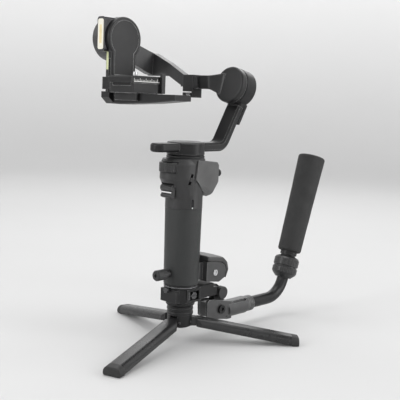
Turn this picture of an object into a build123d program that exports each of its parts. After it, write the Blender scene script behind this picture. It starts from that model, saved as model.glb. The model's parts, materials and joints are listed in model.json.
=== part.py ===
"""Three-axis camera gimbal stabilizer with wrist rest, sling handle and mini tripod.

Millimetres, +Z up, floor at z = 0. The camera looks along -Y and the operator stands at +Y.
Parts are laid out around the handle axis, then moved so the origin is the middle of the footprint.
"""
import os
from math import cos, radians, sin, tan

from build123d import *

# origin: middle of the whole outline, measured from the handle axis
footprint_middle = (-18.756, 69.561)

# handle
base_bottom = 53.6
grip_bottom = 78.0
grip_top = 176.0
head_top = 240.0
grip_radius_low = 22.5
grip_radius_high = 23.6
tube_outer = 21.3
tube_inner = 20.0
cell_radius = 9.0
cell_length = 65.0
cell_spread = 10.6

# front knob, control wheel, trigger, joystick and buttons
front_knob_z = 93.0
wheel_radius = 15.0
wheel_height = 12.6
wheel_y = -24.6
wheel_z = 228.5
bulge_base_y = -4.0
trigger_half_width = 10.0
joystick = (9.0, 47.0, 219.0)
panel_face_y = 43.5

# pan axis
motor_radius = 24.0
pan_gap_z = 243.4
pan_top = 260.0
arm_half_width = 12.0
arm_thickness = 11.0
arm_bar_z = 252.5
bend_y = 61.0
arm_lean = 30.0

# roll axis: slopes down to the rear by roll_slope
roll_slope = 12.0
disc_front = (0.0, 76.0, 334.3)
disc_radius = 24.0
disc_length = 9.0
drum_radius = 24.4
drum_start = 9.6
drum_end = 30.0
arm_end = 59.5
slide_start = 38.0
arm_bend_radius = 17.0

# roll arm, clamp and cross arm
clamp_right = -53.0
clamp_left = -74.0
cross_arm_y = 73.0
arm_lever_at = (-47.5, 331.0)
cross_arm_thickness = 10.0
tail_half_height = 7.0
tail_z = 336.5

# tilt axis, along X
tilt_y = -5.0
tilt_z = 389.0
tilt_drum_radius = 29.0
bracket_radius = 28.7
bracket_inner_x = -115.0
bracket_outer_x = -127.5
tilt_drum_far_x = -150.0

# camera base
crossbar_left = -119.0
crossbar_right = 9.0
clamp_inner_x = -103.0
clamp_front = -38.5
clamp_low = 321.5
clamp_high = 337.5
crossbar_front = -31.0
crossbar_back = -3.0
base_left = -101.0
base_right = -56.0
carriage_top = 330.5
plate_top = 339.5
plate_front = -44.0
plate_back = 14.0
camera_screw_at = (-80.0, -17.0)
thread_radius = 3.175

# wrist rest
rest_half_width = 24.0

# sling handle
sling_pivot = (70.0, 33.0)
sling_tube_z = 28.5
sling_tube_radius = 8.4
sling_tube_bore = 6.6
sling_corner_y = 208.0
sling_bend_radius = 37.0
sling_lean = 17.8
sling_collar_radius = 18.4
sling_neck_radius = 12.4
sling_grip_low_radius = 17.4
sling_grip_high_radius = 20.2
sling_grip_end = 215.0

# tripod
hub_radius = 16.5
leg_azimuths = (46.0, -74.0, 166.0)
leg_pivot_radius = 13.5
leg_pivot_z = 29.0
leg_width = 24.0
tongue_width = 10.0
foot_start = 147.0
foot_reach = 156.0

nodes = {}


def block(x0, x1, y0, y1, z0, z1):
    """Box given by its low and high coordinates."""
    return Pos((x0 + x1) / 2, (y0 + y1) / 2, (z0 + z1) / 2) * Box(x1 - x0, y1 - y0, z1 - z0)


def rod(start, end, radius):
    """Round bar between two points."""
    along = Vector(*end) - Vector(*start)
    place = Plane(origin=start, z_dir=along)
    return place * Pos(0, 0, along.length / 2) * Cylinder(radius, along.length)


def side_plate(points, x0, x1):
    """Outline in Y and Z, given a thickness from x0 to x1."""
    outline = Plane.YZ.offset(x0) * make_face(Polyline(*points, close=True))
    return extrude(outline, amount=x1 - x0, dir=(1, 0, 0))


def front_plate(points, y0, y1):
    """Outline in X and Z, given a thickness from y0 to y1."""
    outline = Plane.XZ.offset(-y0) * make_face(Polyline(*points, close=True))
    return extrude(outline, amount=y1 - y0, dir=(0, 1, 0))


def flat_plate(points, z0, z1):
    """Outline in X and Y, given a thickness from z0 to z1."""
    outline = Plane.XY.offset(z0) * make_face(Polyline(*points, close=True))
    return extrude(outline, amount=z1 - z0, dir=(0, 0, 1))


def turned(points, place=Plane.XY):
    """Profile of radius and height, turned about the place's z axis."""
    outline = Plane.XZ * make_face(Polyline(*points, close=True))
    return place * revolve(outline, axis=Axis.Z)


def soften(shape, edges, radius):
    """Round the given edges, with a smaller radius where the full one doesn't fit."""
    for size in (radius, radius * 0.6, radius * 0.3):
        try:
            rounded = fillet(edges, size)
            if rounded.is_valid:
                return rounded
        except Exception:
            continue
    return shape


def ribbed(shape, place, radius, length, count, groove):
    """Cut straight grooves along a round piece, evenly round it."""
    for index in range(count):
        turn = Rot(0, 0, 360.0 * index / count)
        shape -= place * turn * Pos(radius, 0, length / 2) * Cylinder(groove, length * 1.2)
    return shape


# ---------------------------------------------------------------- handle

def make_handle():
    grip = turned([
        (tube_outer, grip_bottom), (grip_radius_low - 0.8, grip_bottom),
        (grip_radius_low, grip_bottom + 0.8), (grip_radius_high, grip_top - 0.3),
        (grip_radius_high - 0.3, grip_top), (tube_outer, grip_top)])
    tube = turned([
        (tube_inner, 74.0), (tube_outer, 74.0), (tube_outer, 178.0), (tube_inner, 178.0)])
    stud_hole = rod((0, -17.0, front_knob_z), (0, -26.0, front_knob_z), 2.1)
    nodes["handle_grip"] = grip - stud_hole
    nodes["handle_tube"] = tube - stud_hole
    cells = []
    for index in range(3):
        turn = radians(120 * index - 90)
        spot = (cell_spread * cos(turn), cell_spread * sin(turn))
        low = rod((*spot, 96.0), (*spot, 96.0 + cell_length - 1.5), cell_radius)
        cells.append(low + rod((*spot, 96.0), (*spot, 96.0 + cell_length), 3.0))
    nodes["battery_cells"] = Compound(children=cells)


def make_base():
    body = turned([
        (0, base_bottom), (19.0, base_bottom), (20.5, base_bottom + 1.5), (20.5, 72.0),
        (21.8, 73.5), (21.8, 77.2), (21.0, grip_bottom), (0, grip_bottom)])
    body += block(-14.0, 14.0, -22.0, 0.0, 56.0, 72.5)
    body += block(0.0, 20.8, -9.0, 16.0, 56.0, 73.0)
    body -= turned([(0, 74.0), (tube_outer, 74.0), (tube_outer, 79.0), (0, 79.0)])
    body -= block(15.0, 25.0, -6.0, 13.0, 58.5, 70.5)
    body -= rod((0, 0, 50), (0, 0, 66.2), thread_radius)
    body -= rod((10, 3.5, 64.5), (16, 3.5, 64.5), 3.0)
    body -= rod((0, -14, 71.8), (0, -30, 71.8), 2.0)
    nodes["base_block"] = body
    screw = rod((10, 3.5, 64.5), (17, 3.5, 64.5), 3.0)
    screw += rod((17, 3.5, 64.5), (21.5, 3.5, 64.5), 4.6)
    screw -= block(20.0, 22.0, -2.0, 9.0, 63.8, 65.2)
    lever = block(15.0, 20.0, -5.0, -2.5, 59.5, 69.5)
    latch = rod((0, -14, 71.8), (0, -27.5, 71.8), 2.0) + rod((0, -24.5, 71.8), (0, -27.5, 71.8), 3.2)
    nodes["base_fittings"] = Compound(children=[screw, lever, latch])
    upper = turned([(21.8, 75.4), (22.3, 75.4), (22.3, 76.0), (21.8, 76.0)])
    lower = turned([(20.5, 70.8), (20.9, 70.8), (20.9, 71.3), (20.5, 71.3)])
    lower -= block(-15, 22, -24, 17, 69, 73)
    nodes["trim_rings"] = Compound(children=[upper, lower.solids()[0]])
    knob = turned([
        (0, -2.8), (2.0, -2.8), (2.0, 0), (5.0, 0), (5.0, 5.4), (6.8, 6.4), (6.8, 20.6),
        (5.8, 22.0), (2.4, 22.0), (2.4, 19.6), (0, 19.6)],
        Plane(origin=(0, -23.2, front_knob_z), z_dir=(0, -1, 0)))
    nodes["front_knob"] = ribbed(
        knob, Plane(origin=(0, -30.4, front_knob_z), z_dir=(0, -1, 0)), 7.2, 12.0, 16, 0.8)


def head_outline():
    """Solid outer shape of the head's round body."""
    return turned([
        (0, grip_top), (23.5, grip_top), (23.8, grip_top + 0.3), (23.8, 197.0),
        (24.6, 212.0), (25.2, 238.0), (23.5, head_top), (0, head_top)])


def make_head():
    shell = head_outline() - rod((0, 0, grip_top - 1), (0, 0, 178.0), tube_outer)
    shell += front_bulge()
    shell -= rod((0, 0, 233.0), (0, 0, 241.0), 5.6)
    shell -= turned([(0, 177.0), (19.5, 177.0), (19.5, 234.0), (0, 234.0)])
    shell -= Pos(0, wheel_y, wheel_z) * Cylinder(wheel_radius + 0.6, wheel_height + 1.2)
    shell -= rod((0, wheel_y, 208), (0, wheel_y, 237), 1.55)
    shell -= block(-10.4, 10.4, -42.0, -24.9, 184.0, 208.8)
    shell -= rod((-11.8, -28.0, 205.0), (11.8, -28.0, 205.0), 1.25)
    slot = Plane(origin=(20.8, -12.6, 214.0), x_dir=(0, 1, 0), z_dir=(1, 0, 0))
    shell -= slot * Rot(0, 0, -14) * Pos(0, 0, 1.2) * Box(3.4, 14.0, 6.8)
    port = Rot(0, 0, -18) * Pos(22.0, 0, 184.0)
    shell -= port * Box(8.0, 3.6, 9.4)
    shell -= Rot(0, 0, -18) * rod((19.0, 0, 178.0), (26.0, 0, 178.0), 0.9)
    shell -= block(-8.0, 8.0, 14.0, 30.0, 205.0, 225.0)
    nodes["head_shell"] = shell
    slider = slot * Rot(0, 0, -14) * Pos(0, 0, 1.2) * Box(2.8, 5.0, 4.6)
    for step in (-1.6, 0.0, 1.6):
        slider -= slot * Rot(0, 0, -14) * Pos(0, step, 3.4) * Box(5.0, 0.5, 0.8)
    nodes["mode_slider"] = slider
    inlet = port * Box(8.0, 3.6, 9.4)
    inlet -= turned([(23.4, 170), (40, 170), (40, 200), (23.4, 200)])
    inlet -= port * Pos(1.0, 0, 0) * Box(8.0, 2.4, 8.2)
    inlet += port * Pos(-1.5, 0, 0) * Box(5.0, 0.8, 6.6)
    nodes["usb_port"] = inlet
    led = Rot(0, 0, -18) * rod((21.3, 0, 178.0), (23.6, 0, 178.0), 0.9)
    nodes["status_light"] = led
    wheel = Pos(0, wheel_y, wheel_z) * Cylinder(wheel_radius, wheel_height)
    wheel = soften(wheel, wheel.edges(), 1.6)
    low = Plane(origin=(0, wheel_y, wheel_z - wheel_height / 2), z_dir=(0, 0, 1))
    wheel = ribbed(wheel, low, wheel_radius + 0.5, wheel_height, 36, 0.8)
    wheel += rod((0, wheel_y, 211), (0, wheel_y, 236.4), 1.5)
    nodes["front_wheel"] = wheel


def bulge_plan(half_width, reach, height):
    """Half-oval outline of the front bulge at one height."""
    points = []
    for index in range(7):
        turn = radians(30 * index)
        points.append((half_width * cos(turn), bulge_base_y - reach * sin(turn)))
    return Plane.XY.offset(height) * make_face([Spline(*points), Line(points[-1], points[0])])


def front_bulge():
    """Bulge that houses the front wheel and carries the trigger's pin."""
    levels = [(22.4, 20.6, 190.0), (23.4, 24.6, 201.0), (24.9, 32.0, 214.0),
              (24.7, 31.8, 232.0), (22.8, 28.0, 238.6)]
    sections = [bulge_plan(*level) for level in levels]
    bulge = loft(sections[0:2])
    for index in range(1, 4):
        bulge += loft(sections[index:index + 2])
    return bulge


def make_trigger():
    body = side_plate([
        (-27.2, 189.5), (-31.5, 191.0), (-32.0, 193.0), (-30.2, 196.0), (-30.6, 198.0),
        (-33.0, 201.5), (-32.6, 204.5), (-30.0, 207.0), (-26.4, 207.0), (-26.0, 203.0)],
        -trigger_half_width, trigger_half_width)
    body -= rod((-10, -28.0, 205.0), (10, -28.0, 205.0), 1.2)
    trim = side_plate([(-30.9, 195.6), (-32.0, 196.6), (-31.6, 198.2), (-30.2, 197.4)], -8.8, 8.8)
    body -= trim
    nodes["trigger"] = body + rod((-11.6, -28.0, 205.0), (11.6, -28.0, 205.0), 1.2)
    nodes["trigger_trim"] = trim


def side_rim(shape, side):
    """Edges round the panel's large left or right face."""
    wide = shape.faces().sort_by(Axis.X)[side]
    return wide.edges().filter_by(lambda e: e.center().Y > 4.0)


def make_panel():
    body = side_plate([
        (22.0, 191.0), (29.0, 193.0), (41.5, 206.0), (panel_face_y, 209.0), (panel_face_y, 230.0),
        (40.0, 234.0), (-3.0, 238.0), (-6.5, 214.0), (10.0, 199.0)], -28.5, 28.5)
    edges = body.edges().filter_by(lambda e: e.center().Y > 28 and e.length > 40)
    body = soften(body, edges, 2.4)
    plan = [(-19.0, panel_face_y), (19.0, panel_face_y), (27.5, -7.0), (-27.5, -7.0)]
    body = body & flat_plate(plan, 185.0, 245.0)
    jaw = [(-28.5, 245.0), (28.5, 245.0), (28.5, 212.5), (17.0, 188.0), (-17.0, 188.0), (-28.5, 212.5)]
    body = body & front_plate(jaw, -10.0, 50.0)
    for side in (0, -1):
        body = soften(body, side_rim(body, side), 1.4)
    hollow = side_plate([
        (20.0, 197.0), (29.0, 197.0), (39.5, 208.0), (41.0, 211.0), (41.0, 228.0), (38.0, 231.5),
        (20.0, 234.0)], -17.0, 17.0)
    body -= hollow
    body -= head_outline() + front_bulge()
    body -= block(-17.5, 0.5, 42.0, 45.0, 211.5, 229.5)
    body -= rod((joystick[0], 38, joystick[2]), (joystick[0], 50, joystick[2]), 4.4)
    body -= rod((9.0, 38, 209.5), (9.0, 50, 209.5), 2.7)
    body -= rod((9.0, 38, 227.6), (9.0, 50, 227.6), 1.9)
    nodes["control_panel"] = body
    nodes["screen_glass"] = block(-17.5, 0.5, 42.0, panel_face_y, 211.5, 229.5)
    board = block(-16.5, 16.5, 34.0, 35.6, 206.0, 229.0)
    board += block(-12.0, -4.0, 32.8, 34.0, 210.0, 218.0)
    nodes["main_board"] = board
    x, y, z = joystick
    yoke = rod((x, 38.0, z), (x, 40.0, z), 3.4)
    yoke -= rod((x, 37.0, z), (x, 41.0, z), 2.0)
    nodes["joystick_yoke"] = yoke
    nodes["joystick_stalk"] = rod((x, 38.0, z), (x, 50.5, z), 1.5)
    cap = turned([(0, 0), (3.2, 0), (4.8, 1.6), (4.8, 3.0), (3.6, 4.2), (2.6, 3.6), (0, 3.3)],
                 Plane(origin=(x, 50.5, z), z_dir=(0, 1, 0)))
    nodes["joystick_cap"] = cap
    record = rod((9.0, 41.2, 209.5), (9.0, 45.0, 209.5), 2.5)
    nodes["record_button"] = soften(record, record.edges().sort_by(Axis.Y)[-1:], 0.6)
    power = rod((9.0, 41.2, 227.6), (9.0, 44.8, 227.6), 1.7)
    nodes["power_button"] = soften(power, power.edges().sort_by(Axis.Y)[-1:], 0.5)


# ---------------------------------------------------------------- pan axis and pan arm

roll_along = (0.0, cos(radians(roll_slope)), -sin(radians(roll_slope)))
arm_up = (0.0, sin(radians(arm_lean)), cos(radians(arm_lean)))
roll_place = Plane(origin=disc_front, x_dir=(-1, 0, 0), z_dir=roll_along)
upright = Plane(origin=(0, bend_y, arm_bar_z), x_dir=(1, 0, 0), z_dir=arm_up)


def upright_bar(half_width, rear, front, low, high):
    """Straight block along the leaning part of the pan arm, between two depths across it."""
    middle = Pos(0, (rear + front) / 2, (low + high) / 2)
    return upright * middle * Box(half_width * 2, rear - front, high - low)


def arm_section(place):
    """Cross-section of the pan arm, with its four corners cut."""
    wide = arm_half_width
    deep = arm_thickness / 2
    cut = 2.4
    corners = [
        (-wide, -deep + cut), (-wide + cut, -deep), (wide - cut, -deep), (wide, -deep + cut),
        (wide, deep - cut), (wide - cut, deep), (-wide + cut, deep), (-wide, deep - cut)]
    return place * make_face(Polyline(*corners, close=True))


def bent_arm():
    """Pan arm bar: level, then a smooth bend, then leaning up to the roll motor."""
    setback = arm_bend_radius * tan(radians((90 - arm_lean) / 2))
    start = bend_y - setback
    level = Plane(origin=(0, 18.0, arm_bar_z), x_dir=(1, 0, 0), z_dir=(0, 1, 0))
    bar = extrude(arm_section(level), amount=start - 18.0, dir=(0, 1, 0))
    turn_axis = Axis((0, start, arm_bar_z + arm_bend_radius), (1, 0, 0))
    bar += revolve(arm_section(level.offset(start - 18.0)), axis=turn_axis,
                   revolution_arc=90 - arm_lean)
    rise = extrude(arm_section(upright.offset(setback)), amount=arm_end - setback, dir=arm_up)
    groove = upright_bar(3.3, arm_thickness / 2 + 1.0, 3.0, slide_start - 4.0, arm_end + 1.0)
    return bar + rise - groove


def make_pan():
    base = turned([
        (10.0, head_top), (24.2, head_top), (24.2, pan_gap_z - 1.4), (23.2, pan_gap_z - 0.4),
        (10.0, pan_gap_z - 0.4)])
    base -= rod((0, 0, 239), (0, 0, 247), 5.6)
    base += turned([(5.6, head_top), (10.5, head_top), (10.5, 249.0), (5.6, 249.0)])
    nodes["pan_motor_base"] = base
    stator = turned([(10.5, 246.2), (13.0, 246.2), (13.0, 255.0), (10.5, 255.0)])
    for index in range(12):
        turn = Rot(0, 0, 30 * index)
        stator += turn * Pos(15.3, 0, 250.6) * Box(5.0, 4.2, 7.6)
    stator -= turned([(0, 240), (10.5, 240), (10.5, 256), (0, 256)])
    nodes["pan_stator"] = stator
    rotor = turned([
        (0, pan_top), (18.0, pan_top), (22.8, 259.2), (motor_radius, 258.0),
        (motor_radius, pan_gap_z + 0.8), (23.2, pan_gap_z), (18.6, pan_gap_z),
        (18.6, 256.6), (0, 256.6)])
    rotor += rod((0, 0, 236.5), (0, 0, 258), 5.0)
    lug = block(-11.0, 11.0, -46.0, -18.0, 247.4, 258.2)
    lug += Pos(0, -46.0, 252.8) * Cylinder(11.0, 10.8)
    rim = lug.faces().sort_by(Axis.Z)[0].edges() + lug.faces().sort_by(Axis.Z)[-1].edges()
    lug = soften(lug, rim.filter_by(lambda e: e.center().Y < -19), 3.2)
    motor_space = turned([(0, 240), (18.6, 240), (18.6, 262), (0, 262)])
    nodes["pan_arm"] = rotor + (lug + bent_arm() - motor_space)


def drum_ring(start, end, radius):
    """Round slab of the roll motor between two distances behind the disc's face."""
    return roll_place * Pos(0, 0, (start + end) / 2) * Cylinder(radius, end - start)


def make_slide():
    """Neck of the roll motor, with the tongued plate that slides on the pan arm's rear."""
    rear = arm_thickness / 2 + 0.15
    plate = upright_bar(arm_half_width - 1.0, rear + 4.0, rear, slide_start, 68.0)
    lower = plate.edges().filter_by(Axis.X).sort_by(Axis.Z)[0:2]
    plate = soften(plate, lower, 1.8)
    neck = extrude(arm_section(upright.offset(arm_end + 0.3)), amount=14.0, dir=arm_up)
    tongue = upright_bar(3.0, rear + 0.5, 3.3, slide_start, arm_end + 2.0)
    return neck + plate + tongue


def make_roll():
    drum = drum_ring(drum_start, drum_end, drum_radius)
    drum = soften(drum, drum.edges().filter_by(GeomType.CIRCLE), 2.6)
    drum += make_slide()
    drum -= roll_place * Pos(0, 0, drum_start / 2) * Cylinder(60.0, drum_start)
    drum -= drum_ring(drum_start - 1, drum_end - 4.0, 20.0)
    drum += drum_ring(drum_end - 5.0, drum_end - 3.0, 9.0)
    drum -= drum_ring(drum_start, drum_end - 3.0, 4.2)
    latch_slot = roll_place * Pos(-8.0, 12.0, drum_end - 1.0)
    drum -= latch_slot * Pos(0, 0, 2.4) * Box(12.0, 5.0, 8.0)
    nodes["roll_motor_housing"] = drum
    latch = latch_slot * Pos(0, 0, 1.6) * Box(6.0, 4.6, 5.6)
    nodes["roll_lock_latch"] = soften(latch, latch.edges().sort_by(Axis.Y)[-4:], 0.8)
    stator = drum_ring(drum_start + 4.5, drum_end - 5.0, 13.0)
    for index in range(12):
        place = roll_place * Rot(0, 0, 30 * index)
        stator += place * Pos(15.5, 0, (drum_start + drum_end - 1.0) / 2) * Box(7.0, 4.2, 12.0)
    stator -= drum_ring(drum_start, drum_end, 9.0)
    back = drum_ring(drum_end - 9.0, drum_end - 5.0, 13.0)
    nodes["roll_stator"] = stator + (back - drum_ring(0.0, drum_end, 4.2))
    disc = drum_ring(0.0, disc_length, disc_radius)
    disc = soften(disc, disc.edges().filter_by(GeomType.CIRCLE).group_by(Axis.Y)[0], 3.0)
    disc += drum_ring(disc_length - 1, disc_length + 17.0, 4.0)
    bar = block(clamp_right, -30.0, cross_arm_y - 7.0, cross_arm_y + 7.0, 327.0, 345.0)
    bar += loft([neck_section(-30.0, 0.0), neck_section(-24.0, 0.15), neck_section(-15.0, 0.8),
                 neck_section(-8.0, 1.0)])
    bar = soften(bar, bar.edges().filter_by(Axis.X).filter_by(lambda e: e.center().X < -38), 1.2)
    bar -= roll_place * Pos(0, 0, disc_length + 20.0) * Cylinder(60.0, 40.0)
    disc += bar
    x, z = arm_lever_at
    disc -= rod((x, 60, z), (x, 69.2, z), 2.1)
    disc -= tail_bar(clamp_right - 1.0, -27.0, 0.14)
    disc -= drum_ring(disc_length, disc_length + 20.0, 60.0) - drum_ring(disc_length, 40.0, 4.0)
    nodes["roll_arm"] = disc


def neck_section(x, blend):
    """Section of the roll arm that turns from an upright bar into the tilted disc."""
    low, high = cross_arm_y - 7.0, cross_arm_y + 7.0
    upright_corners = [(low, 327.0), (high, 327.0), (high, 345.0), (low, 345.0)]
    tilted_corners = [(73.3, 319.6), (81.2, 317.9), (86.8, 347.1), (78.9, 348.8)]
    corners = []
    for (y0, z0), (y1, z1) in zip(upright_corners, tilted_corners):
        corners.append((y0 + (y1 - y0) * blend, z0 + (z1 - z0) * blend))
    return Plane.YZ.offset(x) * make_face(Polyline(*corners, close=True))


def tail_bar(left, right, slack):
    """Sliding tail of the cross arm, or the channel it runs in when slack is added."""
    half = cross_arm_thickness / 2 - 1.0 + slack
    return block(left, right, cross_arm_y - half, cross_arm_y + half,
                 tail_z - tail_half_height - slack, tail_z + tail_half_height + slack)


def make_cross_arm():
    clamp = block(clamp_left, clamp_right, cross_arm_y - 9.0, cross_arm_y + 9.0, 315.0, 345.6)
    clamp = soften(clamp, clamp.edges().filter_by(Axis.Z), 2.0)
    clamp -= tail_bar(-80.0, -30.0, 0.14)
    clamp -= block(clamp_left - 1, clamp_right - 3, cross_arm_y - 10, cross_arm_y + 10, 321.6, 323.0)
    clamp -= rod((-59.5, 60, 318.4), (-59.5, 86, 318.4), 2.1)
    nodes["cross_arm_clamp"] = clamp
    screw = rod((-59.5, 63.0, 318.4), (-59.5, 80.0, 318.4), 2.0)
    screw += rod((-59.5, 60.4, 318.4), (-59.5, 63.9, 318.4), 3.4)
    hexagon = Plane(origin=(-59.5, 60.3, 318.4), z_dir=(0, 1, 0))
    screw -= extrude(hexagon * RegularPolygon(1.7, 6), amount=2.2, dir=(0, 1, 0))
    nodes["cross_arm_screw"] = screw
    x, z = arm_lever_at
    lever = rod((x, 63.0, z), (x, 68.4, z), 2.0)
    lever += rod((x, 62.2, z), (x, 65.7, z), 4.0)
    lever += front_plate([(x - 3.6, z), (x - 2.6, z + 12), (x + 2.6, z + 12), (x + 3.6, z)],
                         62.2, 65.2)
    nodes["cross_arm_lever"] = lever
    half = cross_arm_thickness / 2
    arm = front_plate([
        (clamp_left - 0.5, 328.4), (clamp_left - 0.5, 345.4), (-106, 361.8), (-138, 375.6),
        (-149, 373.4), (-149, 343.8), (-105, 343.8), (-84, 333.0)],
        cross_arm_y - half, cross_arm_y + half)
    plate = side_plate([
        (78.0, 343.8), (78.0, 373.4), (61.0, 378.0), (39.6, 384.8), (14.0, 397.0),
        (8.0, 366.0), (24.0, 360.0), (37.0, 355.7), (62.0, 346.0)], -149.0, -138.4)
    arm += plate
    corner = arm.edges().filter_by(Axis.Z).filter_by(
        lambda e: e.center().X < -148 and e.center().Y > 70)
    arm = soften(arm, corner, 7.0)
    arm += tail_bar(clamp_left - 8.0, -28.0, 0.0)
    drum = rod((tilt_drum_far_x, tilt_y, tilt_z), (bracket_outer_x - 0.5, tilt_y, tilt_z),
               tilt_drum_radius)
    drum = soften(drum, drum.edges().filter_by(GeomType.CIRCLE), 2.4)
    arm += drum
    arm -= rod((tilt_drum_far_x + 4, tilt_y, tilt_z), (-120, tilt_y, tilt_z), 23.0)
    arm += rod((tilt_drum_far_x + 2, tilt_y, tilt_z), (tilt_drum_far_x + 6, tilt_y, tilt_z), 9.0)
    arm -= rod((tilt_drum_far_x + 3, tilt_y, tilt_z), (-120, tilt_y, tilt_z), 4.2)
    nodes["cross_arm"] = arm
    start = tilt_drum_far_x + 6
    stator = rod((start, tilt_y, tilt_z), (start + 12, tilt_y, tilt_z), 14.0)
    for index in range(12):
        place = Plane(origin=(start + 6, tilt_y, tilt_z), z_dir=(1, 0, 0)) * Rot(0, 0, 30 * index)
        stator += place * Pos(17.0, 0, 0) * Box(7.6, 4.6, 10.0)
    stator -= rod((start - 1, tilt_y, tilt_z), (start + 13, tilt_y, tilt_z), 4.2)
    nodes["tilt_stator"] = stator


# ---------------------------------------------------------------- tilt bracket and camera base

def make_tilt():
    head = rod((bracket_outer_x, tilt_y, tilt_z), (bracket_inner_x, tilt_y, tilt_z), bracket_radius)
    post = block(bracket_outer_x, bracket_inner_x, -27.0, 15.0, 306.0, tilt_z)
    body = head + post
    rim = body.faces().sort_by(Axis.X)[-1].edges().filter_by(lambda e: e.center().Z > 330)
    body = soften(body, rim, 2.6)
    body += rod((-146.5, tilt_y, tilt_z), (bracket_outer_x + 1, tilt_y, tilt_z), 4.0)
    recess = rod((bracket_inner_x - 0.7, tilt_y, tilt_z), (bracket_inner_x + 1, tilt_y, tilt_z),
                 bracket_radius - 4.6)
    recess += block(bracket_inner_x - 0.7, bracket_inner_x + 1, -22.4, 10.4, 341.0, tilt_z)
    body -= recess
    for y in (-27.0, 15.0):
        body -= block(-122.2, -118.8, y - 2.2, y + 2.2, 300.0, 362.0)
    nodes["tilt_bracket"] = body
    light = block(-135.5, -120.5, -36.5, -14.0, 370.5, 416.0)
    light = soften(light, light.edges().filter_by(Axis.Y), 4.0)
    light -= rod((-160, tilt_y, tilt_z), (bracket_outer_x, tilt_y, tilt_z),
                 tilt_drum_radius + 0.6)
    light -= rod((bracket_outer_x, tilt_y, tilt_z), (-110, tilt_y, tilt_z), bracket_radius)
    lens = block(-133.6, -122.4, -37.0, -34.6, 373.5, 413.0)
    lens = soften(lens, lens.edges().filter_by(Axis.Y), 3.0)
    light -= lens
    nodes["fill_light_housing"] = max(light.solids(), key=lambda s: s.volume)
    nodes["fill_light_lens"] = lens


def make_camera_base():
    clamp = block(crossbar_left - 3.0, clamp_inner_x, clamp_front, 20.0, clamp_low, clamp_high)
    clamp = soften(clamp, clamp.edges().filter_by(Axis.Z), 2.5)
    bar = front_plate([
        (crossbar_left, 303.0), (crossbar_left, 315.5), (clamp_inner_x, 317.0),
        (crossbar_right, 317.0), (crossbar_right, 309.6), (-40, 305.2), (-96, 302.6)],
        crossbar_front, crossbar_back)
    bevel = bar.edges().filter_by(
        lambda e: e.center().Z < 310 and abs(e.center().Y - crossbar_front) < 0.1)
    bar = soften(bar, bevel, 3.4)
    root = side_plate([
        (clamp_front, 318.5), (clamp_front, 311), (clamp_front + 9, 303), (-3, 303), (20, 309),
        (20, 318.5)], crossbar_left - 3.0, clamp_inner_x - 3.0)
    body = clamp + bar + root
    body += block(-114.0, clamp_inner_x, crossbar_front, crossbar_back, 314.0, clamp_low + 1.0)
    for y in (crossbar_front + 4.2, crossbar_back - 4.2):
        body -= rod((-98, y, 317.4), (crossbar_right - 6, y, 317.4), 1.6)
    slack = 0.15
    body -= block(bracket_outer_x - slack, bracket_inner_x + slack, -27.0 - slack, 15.0 + slack,
                  300.0, 340.0)
    for y in (-27.2, 13.6):
        body += block(-121.9, -119.1, y, y + 1.6, clamp_low, clamp_high)
    nodes["crossbar"] = body
    make_carriage()
    make_camera_plate()


def make_carriage():
    half_gap = 0.25
    carriage = block(base_left - 0.8, base_right, plate_front + 3, plate_back - 2, 317.6,
                     carriage_top)
    for y in (crossbar_front - 4.6, crossbar_back + half_gap):
        carriage += block(base_left + 3.0, base_right, y, y + 4.35, 308.0, 320.0)
    carriage -= block(-96.0, -61.0, plate_front, plate_back, carriage_top - 3.6, carriage_top + 1.0)
    carriage = soften(carriage, carriage.edges().filter_by(Axis.Z).filter_by(
        lambda e: e.center().X > base_right - 1), 1.2)
    carriage -= rod((-66.0, crossbar_back + 4.0, 313.0), (-66.0, 20.0, 313.0), 1.6)
    carriage -= rod((base_right - 3.2, 7.5, 322.0), (base_right + 1, 7.5, 322.0), 1.27)
    nodes["quick_release_base"] = carriage
    lever = block(base_right + 0.4, base_right + 4.4, 4.5, 10.5, 318.0, 344.0)
    lever += rod((base_right - 3.0, 7.5, 322.0), (base_right + 2.0, 7.5, 322.0), 1.2)
    nodes["quick_release_lever"] = soften(lever, lever.edges().filter_by(Axis.X), 1.0)


def make_camera_plate():
    seat = carriage_top + 0.3
    plate = side_plate([
        (plate_front, seat), (plate_front, plate_top - 2.0), (plate_front + 1.5, plate_top),
        (plate_back - 1.5, plate_top), (plate_back, plate_top - 2.0), (plate_back, seat)],
        base_left, base_right)
    plate += block(-95.8, -61.2, plate_front + 4, plate_back - 4, seat - 3.5, seat + 0.1)
    x, y = camera_screw_at
    plate -= rod((x, y, 320), (x, y, plate_top + 5), thread_radius + 0.06)
    plate -= rod((x, y, 320), (x, y, plate_top - 4.4), 7.3)
    nodes["camera_plate"] = plate
    screw = rod((x, y, plate_top + 0.2), (x, y, plate_top + 5.6), thread_radius)
    screw += rod((x, y, plate_top - 6.5), (x, y, plate_top + 0.2), 2.8)
    screw += rod((x, y, plate_top - 8.5), (x, y, plate_top - 4.7), 7.0)
    screw -= block(x - 8, x + 8, y - 0.6, y + 0.6, plate_top - 9.0, plate_top - 7.1)
    nodes["camera_screw"] = screw


# ---------------------------------------------------------------- wrist rest

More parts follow.
